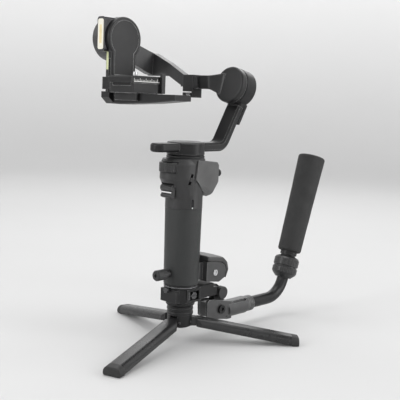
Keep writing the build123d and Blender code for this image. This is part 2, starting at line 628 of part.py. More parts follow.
def make_wrist_rest():
    shell = side_plate([
        (24.4, 80.0), (48.0, 76.5), (58.5, 81.0), (61.0, 91.0), (58.0, 98.0), (51.0, 102.0),
        (24.4, 105.5)], -rest_half_width + 1.5, rest_half_width - 1.5)
    saddle = block(-15.0, 15.0, 14.0, 24.6, 82.0, 104.0)
    low = grip_radius_low + 0.8 * (grip_radius_high - grip_radius_low) / (grip_top - grip_bottom)
    reach = turned([
        (0, grip_bottom), (low, grip_bottom), (grip_radius_high, grip_top), (0, grip_top)])
    shell += saddle - reach
    shell -= rod((rest_half_width - 6, 40.0, 90.0), (rest_half_width, 40.0, 90.0), 4.2)
    nodes["wrist_rest_shell"] = shell
    pad = side_plate([
        (24.8, 105.9), (51.2, 102.4), (58.4, 98.2), (61.4, 91.0), (58.9, 80.9), (61.5, 80.0),
        (66.0, 91.0), (63.0, 102.0), (55.0, 108.8), (24.8, 113.0)],
        -rest_half_width, rest_half_width)
    nodes["wrist_rest_pad"] = pad
    button = rod((rest_half_width - 4.2, 40.0, 90.0), (rest_half_width - 0.3, 40.0, 90.0), 4.0)
    button -= rod((rest_half_width - 1.3, 40.0, 90.0), (rest_half_width + 1, 40.0, 90.0), 2.5)
    nodes["wrist_rest_button"] = button


# ---------------------------------------------------------------- sling handle

sling_axis = (0.0, sin(radians(sling_lean)), cos(radians(sling_lean)))
sling_place = Plane(origin=(0, sling_corner_y, sling_tube_z), x_dir=(1, 0, 0), z_dir=sling_axis)


def make_sling():
    pivot_y, pivot_z = sling_pivot
    bracket = block(-12.0, 12.0, 15.0, 50.0, 55.0, 72.8)
    bracket -= turned([(0, 50), (21.0, 50), (21.0, 71.9), (22.0, 73.2), (22.0, 74), (0, 74)])
    bracket += side_plate([(48.0, 55.0), (48.0, 69.0), (64.0, 68.0), (76.0, 60.0), (80.0, 40.0),
                           (80.0, 33.0), (60.0, 33.0), (60.0, 50.0), (56.0, 55.0)], -4.8, 4.8)
    bracket += block(4.0, 12.0, 49.0, 57.4, 55.0, 67.0)
    bracket += rod((-4.8, pivot_y, pivot_z), (4.8, pivot_y, pivot_z), 11.5)
    bracket = soften(bracket, bracket.edges().filter_by(Axis.Y).filter_by(
        lambda e: abs(e.center().X) > 11), 1.5)
    bracket -= rod((-12, pivot_y, pivot_z), (12, pivot_y, pivot_z), 3.0)
    bracket -= rod((-2, 67.0, 57.0), (12, 67.0, 57.0), 2.5)
    nodes["sling_bracket"] = bracket
    bolt = rod((-9.4, pivot_y, pivot_z), (9.4, pivot_y, pivot_z), 3.0)
    for sign in (-1, 1):
        bolt += rod((sign * 9.4, pivot_y, pivot_z), (sign * 12.0, pivot_y, pivot_z), 6.0)
    face = Plane(origin=(12.1, pivot_y, pivot_z), z_dir=(-1, 0, 0))
    bolt -= extrude(face * RegularPolygon(3.0, 6), amount=2.0, dir=(-1, 0, 0))
    nodes["sling_pivot_bolt"] = bolt
    knob = rod((6.0, 67.0, 57.0), (15.0, 67.0, 57.0), 8.6)
    knob = soften(knob, knob.edges(), 1.0)
    knob = ribbed(knob, Plane(origin=(6.0, 67.0, 57.0), z_dir=(1, 0, 0)), 9.2, 9.0, 18, 1.0)
    knob += rod((0.0, 67.0, 57.0), (7.0, 67.0, 57.0), 2.4)
    nodes["sling_lock_knob"] = knob
    cheek = [(43.5, 27.0), (42.5, 46.0), (45.5, 49.0), (56.0, 48.0), (66.0, 46.0), (84.0, 42.0),
             (92.0, 40.5), (92.0, 16.6), (84.0, 16.6), (62.0, 20.5), (46.0, 24.6)]
    fork = side_plate(cheek, 5.2, 9.2) + side_plate(cheek, -9.2, -5.2)
    fork += side_plate([(43.8, 27.0), (42.8, 46.0), (52.0, 46.0), (52.0, 25.0)], -6.0, 6.0)
    barrel = rod((0, 86.0, sling_tube_z), (0, 126.0, sling_tube_z), 12.0)
    barrel = soften(barrel, barrel.edges().filter_by(GeomType.CIRCLE), 1.5)
    ring = rod((0, 126.0, sling_tube_z), (0, 141.0, sling_tube_z), 11.0)
    ring = soften(ring, ring.edges().filter_by(GeomType.CIRCLE).sort_by(Axis.Y)[-1:], 1.5)
    for y in (129.0, 132.0, 135.0, 138.0):
        groove = rod((0, y, sling_tube_z), (0, y + 1.2, sling_tube_z), 13.0)
        ring -= groove - rod((0, y - 1, sling_tube_z), (0, y + 2.2, sling_tube_z), 10.2)
    fork += barrel + ring
    fork -= rod((0, 94.0, sling_tube_z), (0, 142.0, sling_tube_z), sling_tube_radius + 0.08)
    slot = Pos(0, 110.0, sling_tube_z) * Rot(0, -50, 0) * Pos(12.0, 0, 0)
    fork -= slot * Box(5.0, 27.0, 4.0)
    fork -= rod((-12, pivot_y, pivot_z), (12, pivot_y, pivot_z), 3.06)
    nodes["sling_fork"] = fork
    setback = sling_bend_radius * tan(radians((90 - sling_lean) / 2))
    bend_start = sling_corner_y - setback
    tube = rod((0, 96.0, sling_tube_z), (0, bend_start, sling_tube_z), sling_tube_radius)
    bend_plane = Plane(origin=(0, bend_start, sling_tube_z), z_dir=(0, 1, 0))
    circle = bend_plane * Circle(sling_tube_radius)
    turn_axis = Axis((0, bend_start, sling_tube_z + sling_bend_radius), (1, 0, 0))
    tube += revolve(circle, axis=turn_axis, revolution_arc=90 - sling_lean)
    tube += sling_place * Pos(0, 0, (setback + 196.0) / 2) * Cylinder(
        sling_tube_radius, 196.0 - setback)
    bore = bend_plane * Circle(sling_tube_bore)
    tube -= revolve(bore, axis=turn_axis, revolution_arc=90 - sling_lean)
    tube -= rod((0, 95.0, sling_tube_z), (0, bend_start, sling_tube_z), sling_tube_bore)
    tube -= sling_place * Pos(0, 0, (setback + 193.0) / 2) * Cylinder(
        sling_tube_bore, 193.0 - setback)
    tube += sling_place * Pos(0, 0, 64.6) * Cylinder(sling_neck_radius, 4.8)
    tube += sling_place * Pos(0, 0, 61.3) * Cylinder(sling_neck_radius - 1.6, 1.8)
    nodes["sling_tube"] = tube
    wide = sling_collar_radius
    collar = turned([
        (sling_tube_radius + 0.12, 27.5), (11.5, 27.5), (wide - 1.4, 33.0), (wide, 35.5), (wide, 42.0),
        (wide - 1.3, 43.2), (wide - 1.3, 44.6), (wide, 45.8), (wide, 55.0), (wide - 2.0, 58.0),
        (sling_neck_radius, 60.0), (sling_tube_radius + 0.12, 60.0)], sling_place)
    low = sling_place * Pos(0, 0, 32.0)
    for index in range(20):
        collar -= low * Rot(0, 0, 18 * index) * Pos(wide + 0.6, 0, 12.5) * Cylinder(1.2, 25.0)
    nodes["sling_collar"] = collar
    end = sling_grip_end
    grip = turned([
        (sling_tube_radius, 67.0), (sling_grip_low_radius - 2.5, 67.0),
        (sling_grip_low_radius, 70.0), (sling_grip_high_radius, end - 2.8),
        (sling_grip_high_radius - 0.8, end - 0.9), (sling_grip_high_radius - 2.8, end),
        (0, end), (0, 196.0), (sling_tube_radius, 196.0)], sling_place)
    nodes["sling_grip"] = grip


# ---------------------------------------------------------------- tripod

def leg_space(azimuth):
    """Frame with X pointing out along a leg."""
    return Rot(0, 0, azimuth)


def radial_plate(points, half_width):
    """Outline in reach and height, centred on the leg's plane."""
    return front_plate(points, -half_width, half_width)


def make_tripod():
    hub = turned([
        (0, 21.5), (12.5, 21.5), (15.5, 23.1), (hub_radius, 25.5), (hub_radius, 38.0),
        (hub_radius + 0.6, 38.6), (hub_radius + 0.6, 41.0), (hub_radius, 41.6),
        (hub_radius, 44.0), (hub_radius + 0.6, 44.6), (hub_radius + 0.6, 46.4),
        (hub_radius, 47.0), (hub_radius, 49.0), (18.6, 51.4), (18.8, base_bottom),
        (thread_radius, base_bottom), (thread_radius, 65.0), (0, 66.0)])
    pins = []
    for index, azimuth in enumerate(leg_azimuths):
        place = leg_space(azimuth)
        slot = block(leg_pivot_radius - 7.0, 30.0, -tongue_width / 2 - 0.3,
                     tongue_width / 2 + 0.3, leg_pivot_z - 16.0, leg_pivot_z + 8.6)
        hub -= place * slot
        pin = rod((leg_pivot_radius, -9.0, leg_pivot_z), (leg_pivot_radius, 9.0, leg_pivot_z), 1.5)
        hub -= place * pin
        pins.append(place * pin)
        make_leg(index + 1, place)
    nodes["tripod_hub"] = hub
    nodes["leg_hinge_pins"] = Compound(children=pins)


def make_leg(number, place):
    """One leg, in its open stop, with a rubber foot at its tip."""
    tongue = radial_plate([
        (leg_pivot_radius, leg_pivot_z - 6.2), (leg_pivot_radius, leg_pivot_z + 6.2),
        (27.0, 33.0), (27.0, 23.2)], tongue_width / 2)
    tongue += rod((leg_pivot_radius, -tongue_width / 2, leg_pivot_z),
                  (leg_pivot_radius, tongue_width / 2, leg_pivot_z), 6.2)
    beam = radial_plate([
        (22.0, 22.9), (22.0, 34.1), (foot_start, 12.4), (foot_start, 0.6)], leg_width / 2)
    beam = round_long_edges(beam, 100)
    beam -= flat_corner(1) + flat_corner(-1)
    beam -= radial_plate([(36.0, 12.0), (36.0, 24.2), (138.0, 6.2), (138.0, -6.0)], 5.0)
    leg = tongue + beam
    leg -= rod((leg_pivot_radius, -9.0, leg_pivot_z), (leg_pivot_radius, 9.0, leg_pivot_z), 1.55)
    nodes["tripod_leg_%d" % number] = place * leg
    foot = radial_plate([
        (foot_start, 0.0), (foot_start, 12.4), (foot_reach, 10.8), (foot_reach, 0.0)],
        leg_width / 2)
    foot = round_long_edges(foot, 8)
    tip = foot.faces().sort_by(Axis.X)[-1].edges().filter_by(lambda e: e.center().Z > 0.5)
    foot = soften(foot, tip, 1.2)
    nodes["tripod_foot_%d" % number] = place * foot


def round_long_edges(shape, length):
    """Round a leg's long edges, with a larger radius on its upper side."""
    along = shape.edges().filter_by(
        lambda e: e.length > length and abs(abs(e.center().Y) - leg_width / 2) < 0.1
        and abs(e.tangent_at(0.5).X) > 0.5)
    middle = sum(e.center().Z for e in along) / len(along)
    shape = soften(shape, along.filter_by(lambda e: e.center().Z > middle), 7.0)
    lower = shape.edges().filter_by(
        lambda e: e.length > length and abs(abs(e.center().Y) - leg_width / 2) < 0.1
        and abs(e.tangent_at(0.5).X) > 0.5 and e.center().Z < middle)
    return soften(shape, lower, 2.4)


def flat_corner(sign):
    """Wedge that narrows a leg towards its hinge."""
    outline = [(20, sign * 7.6), (29, sign * (leg_width / 2 + 0.2)), (20, sign * 14.0)]
    return flat_plate(outline, 15.0, 45.0)


def write_parts():
    make_handle()
    make_base()
    make_head()
    make_trigger()
    make_panel()
    make_pan()
    make_roll()
    make_cross_arm()
    make_tilt()
    make_camera_base()
    make_wrist_rest()
    make_sling()
    make_tripod()
    os.makedirs("parts", exist_ok=True)
    shift = Pos(-footprint_middle[0], -footprint_middle[1], 0)
    low = Vector(1e9, 1e9, 1e9)
    high = Vector(-1e9, -1e9, -1e9)
    for name, shape in nodes.items():
        box = shape.bounding_box()
        low = Vector(min(low.X, box.min.X), min(low.Y, box.min.Y), min(low.Z, box.min.Z))
        high = Vector(max(high.X, box.max.X), max(high.Y, box.max.Y), max(high.Z, box.max.Z))
        solids = shape.solids()
        whole = solids[0] if len(solids) == 1 else Compound(children=list(solids))
        export_step(shift * whole, "parts/%s.step" % name)
    print("outline from", low, "to", high)
    print("middle", (low.X + high.X) / 2, (low.Y + high.Y) / 2)


write_parts()
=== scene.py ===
import json
import math

import bmesh
import bpy
from mathutils import Matrix, Vector, noise


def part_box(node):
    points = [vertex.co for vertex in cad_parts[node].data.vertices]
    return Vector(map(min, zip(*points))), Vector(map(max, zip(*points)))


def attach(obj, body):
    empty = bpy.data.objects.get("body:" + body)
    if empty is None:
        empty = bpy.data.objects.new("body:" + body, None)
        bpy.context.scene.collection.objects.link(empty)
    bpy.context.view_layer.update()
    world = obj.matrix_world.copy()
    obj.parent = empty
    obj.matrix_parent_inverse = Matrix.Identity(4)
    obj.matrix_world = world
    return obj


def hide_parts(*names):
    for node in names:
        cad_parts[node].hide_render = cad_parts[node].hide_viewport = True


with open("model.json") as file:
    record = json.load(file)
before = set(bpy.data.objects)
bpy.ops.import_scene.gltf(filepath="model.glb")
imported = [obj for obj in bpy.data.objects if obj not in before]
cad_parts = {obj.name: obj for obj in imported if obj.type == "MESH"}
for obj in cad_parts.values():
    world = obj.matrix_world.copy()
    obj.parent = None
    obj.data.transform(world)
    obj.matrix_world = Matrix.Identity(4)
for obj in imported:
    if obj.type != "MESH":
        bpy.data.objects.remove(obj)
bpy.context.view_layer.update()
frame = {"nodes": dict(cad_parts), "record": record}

nodes = frame["nodes"]
scene = bpy.context.scene


# ---------------------------------------------------------------- node material helpers

def new_material(name):
    mat = bpy.data.materials.new(name)
    mat.use_nodes = True
    tree = mat.node_tree
    shader = tree.nodes["Principled BSDF"]
    return mat, tree, shader


def add(tree, kind, **settings):
    node = tree.nodes.new(kind)
    for key, value in settings.items():
        if key in node.inputs:
            node.inputs[key].default_value = value
        else:
            setattr(node, key, value)
    return node


def noise_field(tree, coords, scale, detail=4.0, rough=0.55, stretch=None):
    source = coords
    if stretch:
        place = add(tree, "ShaderNodeMapping")
        place.inputs["Scale"].default_value = stretch
        tree.links.new(coords, place.inputs["Vector"])
        source = place.outputs["Vector"]
    field = add(tree, "ShaderNodeTexNoise", Scale=scale, Detail=detail, Roughness=rough)
    tree.links.new(source, field.inputs["Vector"])
    return field.outputs["Fac"]


def ranged(tree, value, low_in, high_in, low_out, high_out):
    node = add(tree, "ShaderNodeMapRange")
    node.inputs["From Min"].default_value = low_in
    node.inputs["From Max"].default_value = high_in
    node.inputs["To Min"].default_value = low_out
    node.inputs["To Max"].default_value = high_out
    tree.links.new(value, node.inputs["Value"])
    return node.outputs["Result"]


def math_node(tree, operation, first, second):
    node = add(tree, "ShaderNodeMath", operation=operation)
    for index, value in enumerate((first, second)):
        if isinstance(value, (int, float)):
            node.inputs[index].default_value = value
        else:
            tree.links.new(value, node.inputs[index])
    return node.outputs[0]


def blend_colour(tree, factor, first, second):
    node = add(tree, "ShaderNodeMix", data_type="RGBA")
    tree.links.new(factor, node.inputs["Factor"])
    for socket, value in ((node.inputs[6], first), (node.inputs[7], second)):
        if isinstance(value, tuple):
            socket.default_value = (*value, 1.0)
        else:
            tree.links.new(value, socket)
    return node.outputs[2]


def edge_mask(tree, width, amount):
    """1 on the sharp edges and 0 elsewhere, from rounded and true normals."""
    bevel = add(tree, "ShaderNodeBevel", samples=6)
    bevel.inputs["Radius"].default_value = width
    geometry = add(tree, "ShaderNodeNewGeometry")
    dot = add(tree, "ShaderNodeVectorMath", operation="DOT_PRODUCT")
    tree.links.new(bevel.outputs["Normal"], dot.inputs[0])
    tree.links.new(geometry.outputs["Normal"], dot.inputs[1])
    return ranged(tree, dot.outputs["Value"], 0.80, 0.995, amount, 0.0)


def finish(name, base, vary=0.18, vary_scale=45.0, rough=(0.42, 0.56), metallic=0.0, coat=0.0,
           grain="blast", grain_scale=1700.0, grain_depth=0.00006, grain_strength=0.35,
           round_edges=0.00045, edge_highlight=0.0, edge_highlight_colour=(0.30, 0.30, 0.30), edge_highlight_width=0.0006,
           streak=None, specular=0.5, dust=0.0):
    """Moulded, anodised, rubber or machined finish with rounded edges and fine surface relief."""
    mat, tree, shader = new_material(name)
    coords = add(tree, "ShaderNodeTexCoord").outputs["Object"]
    cloud = noise_field(tree, coords, vary_scale, 5.0)
    dark = tuple(c * (1 - vary) for c in base)
    light = tuple(min(1.0, c * (1 + vary)) for c in base)
    colour = blend_colour(tree, ranged(tree, cloud, 0.3, 0.7, 0.0, 1.0), dark, light)
    speckle = noise_field(tree, coords, grain_scale * 0.8, 2.0)
    lifted = tuple(min(1.0, c * 1.35 + 0.004) for c in base)
    colour = blend_colour(tree, ranged(tree, speckle, 0.55, 0.78, 0.0, 0.5), colour, lifted)
    if dust:
        film = noise_field(tree, coords, 9.0, 6.0, 0.65)
        colour = blend_colour(tree, ranged(tree, film, 0.45, 0.8, 0.0, dust), colour, (0.32, 0.32, 0.32))
    touch = noise_field(tree, coords, 22.0, 6.0, 0.6)
    gloss = ranged(tree, touch, 0.32, 0.68, rough[0], rough[1])
    # Painted highlight: a lighter colour laid on the sharp edges and broken into patches, standing in for
    # light glinting off the edges.
    if edge_highlight:
        mask = edge_mask(tree, edge_highlight_width, edge_highlight)
        patchy = ranged(tree, noise_field(tree, coords, 120.0, 4.0), 0.3, 0.65, 0.35, 1.0)
        mask = math_node(tree, "MULTIPLY", mask, patchy)
        colour = blend_colour(tree, mask, colour, edge_highlight_colour)
    tree.links.new(colour, shader.inputs["Base Color"])
    tree.links.new(gloss, shader.inputs["Roughness"])
    shader.inputs["Metallic"].default_value = metallic
    shader.inputs["Specular IOR Level"].default_value = specular
    if coat:
        shader.inputs["Coat Weight"].default_value = coat
        shader.inputs["Coat Roughness"].default_value = 0.12
    normal = None
    if round_edges:
        bevel = add(tree, "ShaderNodeBevel", samples=6)
        bevel.inputs["Radius"].default_value = round_edges
        normal = bevel.outputs["Normal"]
    if grain == "leather":
        cells = add(tree, "ShaderNodeTexVoronoi", Scale=grain_scale, feature="DISTANCE_TO_EDGE")
        warp = noise_field(tree, coords, grain_scale * 0.35, 3.0)
        shifted = add(tree, "ShaderNodeVectorMath", operation="ADD")
        scaled = add(tree, "ShaderNodeVectorMath", operation="SCALE")
        scaled.inputs["Scale"].default_value = 0.6 / grain_scale
        combine = add(tree, "ShaderNodeCombineXYZ")
        for index in range(3):
            tree.links.new(warp, combine.inputs[index])
        tree.links.new(combine.outputs[0], scaled.inputs[0])
        tree.links.new(coords, shifted.inputs[0])
        tree.links.new(scaled.outputs[0], shifted.inputs[1])
        tree.links.new(shifted.outputs[0], cells.inputs["Vector"])
        height = ranged(tree, cells.outputs["Distance"], 0.0, 0.22, 0.0, 1.0)
    elif grain == "brushed":
        height = noise_field(tree, coords, grain_scale, 3.0, 0.7, streak or (1.0, 1.0, 0.03))
    elif grain == "pores":
        cells = add(tree, "ShaderNodeTexVoronoi", Scale=grain_scale)
        tree.links.new(coords, cells.inputs["Vector"])
        height = ranged(tree, cells.outputs["Distance"], 0.08, 0.5, 0.0, 1.0)
    else:
        height = noise_field(tree, coords, grain_scale, 3.0, 0.6)
    bump = add(tree, "ShaderNodeBump")
    bump.inputs["Strength"].default_value = grain_strength
    bump.inputs["Distance"].default_value = grain_depth
    tree.links.new(height, bump.inputs["Height"])
    if normal:
        tree.links.new(normal, bump.inputs["Normal"])
    tree.links.new(bump.outputs["Normal"], shader.inputs["Normal"])
    return mat


# Finishes below that set a lighter edge colour get a painted highlight on their sharp edges.
alloy = finish("anodised_black", (0.014, 0.014, 0.0145), rough=(0.30, 0.44), metallic=0.2,
               specular=0.36, edge_highlight=0.5, edge_highlight_colour=(0.26, 0.26, 0.26), edge_highlight_width=0.0008)
alloy_arm = finish("anodised_arm", (0.019, 0.019, 0.0195), rough=(0.28, 0.42), metallic=0.2,
                   specular=0.4, edge_highlight=0.85, edge_highlight_colour=(0.55, 0.55, 0.55), edge_highlight_width=0.0012)
alloy_pan = finish("anodised_pan_arm", (0.013, 0.013, 0.0135), rough=(0.30, 0.44), metallic=0.2,
                   specular=0.36, edge_highlight=0.7, edge_highlight_colour=(0.48, 0.48, 0.48), edge_highlight_width=0.0014)
alloy_light = finish("anodised_grey", (0.052, 0.052, 0.053), rough=(0.30, 0.42), metallic=0.2,
                     edge_highlight=0.7, edge_highlight_colour=(0.45, 0.45, 0.45), edge_highlight_width=0.0010)
fork_metal = finish("anodised_fork", (0.085, 0.085, 0.086), rough=(0.26, 0.38), metallic=0.3,
                    edge_highlight=0.8, edge_highlight_colour=(0.55, 0.55, 0.55), edge_highlight_width=0.0010)
shell_plastic = finish("head_plastic", (0.021, 0.021, 0.0215), rough=(0.34, 0.48), grain_scale=1300.0,
                       grain_strength=0.45, edge_highlight=0.3, edge_highlight_colour=(0.20, 0.20, 0.20))
panel_plastic = finish("panel_plastic", (0.082, 0.082, 0.082), rough=(0.34, 0.46), grain_scale=1300.0,
                       grain_strength=0.45, edge_highlight=0.5, edge_highlight_colour=(0.30, 0.30, 0.30))
leg_plastic = finish("leg_plastic", (0.014, 0.014, 0.0145), rough=(0.20, 0.34), grain_scale=1100.0,
                     grain_strength=0.4, edge_highlight=0.35, edge_highlight_colour=(0.18, 0.18, 0.18), dust=0.04)
grip_skin = finish("grip_leather", (0.0185, 0.0200, 0.0198), vary=0.12, rough=(0.44, 0.58),
                   grain="leather", grain_scale=720.0, grain_depth=0.00028, grain_strength=0.5)
grey_key = finish("grey_key", (0.10, 0.10, 0.105), rough=(0.36, 0.48), edge_highlight=0.3)
bright = finish("machined_steel", (0.60, 0.60, 0.61), vary=0.08, rough=(0.20, 0.34), metallic=1.0,
                grain="brushed", grain_scale=900.0, grain_strength=0.25, edge_highlight=0.4,
                edge_highlight_colour=(0.85, 0.85, 0.85))
dark_steel = finish("dark_steel", (0.085, 0.085, 0.088), vary=0.12, rough=(0.24, 0.36), metallic=0.7,
                    grain="brushed", grain_scale=900.0, grain_strength=0.25, edge_highlight=0.6,
                    edge_highlight_colour=(0.50, 0.50, 0.50))
chrome = finish("chrome_trim", (0.78, 0.78, 0.78), vary=0.04, rough=(0.08, 0.16), metallic=1.0,
                grain_strength=0.08)
ring_metal = finish("ring_metal", (0.30, 0.30, 0.31), vary=0.08, rough=(0.18, 0.28), metallic=0.9,
                    grain_strength=0.1)
gloss = finish("gloss_black", (0.014, 0.013, 0.017), vary=0.1, rough=(0.10, 0.2), coat=0.6,
               grain_strength=0.08, edge_highlight=0.3)
glass = finish("screen_glass", (0.006, 0.007, 0.010), vary=0.1, rough=(0.04, 0.1), coat=1.0,
               grain_strength=0.03, round_edges=0.0003)
copper = finish("winding_copper", (0.50, 0.24, 0.11), rough=(0.3, 0.42), metallic=0.9,
                grain="brushed", grain_scale=2500.0, grain_strength=0.6)
board = finish("board_green", (0.02, 0.10, 0.045), rough=(0.35, 0.5))
wrap = finish("cell_wrap", (0.05, 0.15, 0.32), rough=(0.3, 0.42))
rubber = finish("foot_rubber", (0.017, 0.017, 0.017), vary=0.25, rough=(0.50, 0.66),
                grain_scale=900.0, grain_strength=0.6, dust=0.08)
knob_plastic = finish("knob_plastic", (0.018, 0.018, 0.0185), rough=(0.30, 0.44), edge_highlight=0.5,
                      edge_highlight_colour=(0.28, 0.28, 0.28))
lamp = finish("status_lamp", (0.80, 0.86, 0.82), vary=0.05, rough=(0.2, 0.3), grain_strength=0.1)
foam = finish("foam_grip", (0.018, 0.018, 0.018), vary=0.22, vary_scale=70.0, rough=(0.60, 0.76),
              grain="pores", grain_scale=1500.0, grain_depth=0.00025, grain_strength=0.7,
              round_edges=0.0)
cushion_skin = finish("rest_cushion_skin", (0.042, 0.042, 0.042), vary=0.14, rough=(0.24, 0.34),
                      grain="leather", grain_scale=950.0, grain_depth=0.00018, grain_strength=0.3,
                      round_edges=0.0)
print_white = finish("scale_print", (0.74, 0.74, 0.72), vary=0.06, rough=(0.5, 0.62),
                     round_edges=0.0, grain_strength=0.2)
strip_tint = finish("strip_tint", (0.62, 0.66, 0.38), vary=0.08, rough=(0.4, 0.52),
                    round_edges=0.0, grain_strength=0.2)


def lens_material(low, high):
    """Frosted lamp cover: cream in the middle, whiter towards its rim, with fine prism ribs."""
    mat, tree, shader = new_material("lamp_cover")
    coords = add(tree, "ShaderNodeTexCoord").outputs["Object"]
    split = add(tree, "ShaderNodeSeparateXYZ")
    tree.links.new(coords, split.inputs[0])
    inside = []
    for axis, margin in ((0, 0.0030), (2, 0.0075)):
        middle = (low[axis] + high[axis]) / 2
        half = (high[axis] - low[axis]) / 2
        away = math_node(tree, "ABSOLUTE", math_node(tree, "SUBTRACT", split.outputs[axis], middle), 0.0)
        inside.append(ranged(tree, away, half - margin - 0.0008, half - margin + 0.0004, 1.0, 0.0))
    mask = math_node(tree, "MULTIPLY", inside[0], inside[1])
    cloud = noise_field(tree, coords, 160.0, 4.0)
    patches = ranged(tree, cloud, 0.3, 0.7, 0.0, 1.0)
    cream = blend_colour(tree, patches, (0.72, 0.60, 0.33), (0.82, 0.70, 0.42))
    rim = blend_colour(tree, patches, (0.80, 0.77, 0.66), (0.88, 0.86, 0.76))
    tree.links.new(blend_colour(tree, mask, rim, cream), shader.inputs["Base Color"])
    shader.inputs["Roughness"].default_value = 0.34
    shader.inputs["Coat Weight"].default_value = 0.5
    shader.inputs["Coat Roughness"].default_value = 0.18
    ribs = noise_field(tree, coords, 1400.0, 2.0, 0.5, (1.0, 1.0, 0.05))
    bump = add(tree, "ShaderNodeBump")
    bump.inputs["Strength"].default_value = 0.3
    bump.inputs["Distance"].default_value = 0.00015
    tree.links.new(ribs, bump.inputs["Height"])
    tree.links.new(bump.outputs["Normal"], shader.inputs["Normal"])
    return mat


finishes = {
    "handle_tube": alloy, "handle_grip": grip_skin, "battery_cells": wrap, "head_shell": shell_plastic,
    "control_panel": panel_plastic, "screen_glass": glass, "main_board": board, "usb_port": gloss,
    "status_light": lamp, "base_block": alloy, "base_fittings": dark_steel, "trim_rings": ring_metal,
    "tripod_hub": alloy, "leg_hinge_pins": dark_steel, "pan_motor_base": alloy, "pan_stator": copper,
    "wrist_rest_shell": alloy_light, "sling_bracket": alloy, "sling_pivot_bolt": alloy,
    "front_knob": knob_plastic, "front_wheel": knob_plastic, "trigger": shell_plastic,
    "trigger_trim": chrome, "joystick_yoke": knob_plastic, "joystick_stalk": knob_plastic,
    "joystick_cap": rubber, "record_button": grey_key, "power_button": grey_key,
    "mode_slider": shell_plastic, "wrist_rest_button": bright, "pan_arm": alloy_pan,
    "roll_motor_housing": alloy, "roll_stator": copper, "roll_lock_latch": grey_key,
    "roll_arm": alloy_arm, "cross_arm_clamp": knob_plastic, "cross_arm_screw": bright,
    "cross_arm_lever": knob_plastic, "cross_arm": alloy_light, "tilt_stator": copper,
    "tilt_bracket": alloy_arm, "fill_light_housing": gloss, "crossbar": alloy,
    "quick_release_base": alloy_arm, "quick_release_lever": knob_plastic, "camera_plate": alloy,
    "camera_screw": bright, "sling_fork": fork_metal, "sling_lock_knob": knob_plastic,
    "sling_tube": alloy, "sling_collar": knob_plastic,
}
for index in (1, 2, 3):
    finishes["tripod_leg_%d" % index] = leg_plastic
    finishes["tripod_foot_%d" % index] = rubber
finishes["fill_light_lens"] = lens_material(*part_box("fill_light_lens"))
for name, mat in finishes.items():
    mesh = nodes[name].data
    if not mesh.materials:
        mesh.materials.append(mat)
    for index in range(len(mesh.materials)):
        mesh.materials[index] = mat


# ---------------------------------------------------------------- meshes

def mesh_object(name, bm, mat, smooth=True):
    mesh = bpy.data.meshes.new(name)
    bm.normal_update()
    bm.to_mesh(mesh)
    bm.free()
    for face in mesh.polygons:
        face.use_smooth = smooth
    mesh.materials.append(mat)
    obj = bpy.data.objects.new(name, mesh)
    scene.collection.objects.link(obj)
    return obj


def centre(node):
    low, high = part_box(node)
    return Vector(((low[0] + high[0]) / 2, (low[1] + high[1]) / 2, (low[2] + high[2]) / 2))


def joint(name):
    for item in frame["record"]["behaviour"]["joints"]:
        if item["name"] == name:
            return item
    raise KeyError(name)


def rest_cushion():
    """Soft cushion over the top and back of the wrist rest, crowned and rounded at its sides."""
    source = nodes["wrist_rest_pad"]
    copy = source.copy()
    copy.data = source.data.copy()
    copy.parent = None
    scene.collection.objects.link(copy)
    copy.name = "rest_cushion"
    bpy.context.view_layer.objects.active = copy
    for item in bpy.context.selected_objects:
        item.select_set(False)
    copy.select_set(True)
    remesh = copy.modifiers.new("even", "REMESH")
    remesh.mode = "VOXEL"
    remesh.voxel_size = 0.0011
    bpy.ops.object.modifier_apply(modifier="even")
    relax = copy.modifiers.new("relax", "SMOOTH")
    relax.factor = 0.6
    relax.iterations = 14
    bpy.ops.object.modifier_apply(modifier="relax")
    low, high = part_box("wrist_rest_pad")
    middle = (low[0] + high[0]) / 2
    half = (high[0] - low[0]) / 2
    for vertex in copy.data.vertices:
        across = abs(vertex.co.x - middle) / half
        crown = 0.0009 * (1 - across ** 2)
        wrinkle = 0.00018 * noise.noise(vertex.co * 90.0)
        vertex.co += vertex.normal * (crown + wrinkle)
        seam = math.exp(-((across - 0.86) / 0.035) ** 2)
        vertex.co -= vertex.normal * 0.0006 * seam
    copy.data.materials.clear()
    copy.data.materials.append(cushion_skin)
    for face in copy.data.polygons:
        face.use_smooth = True
    return copy


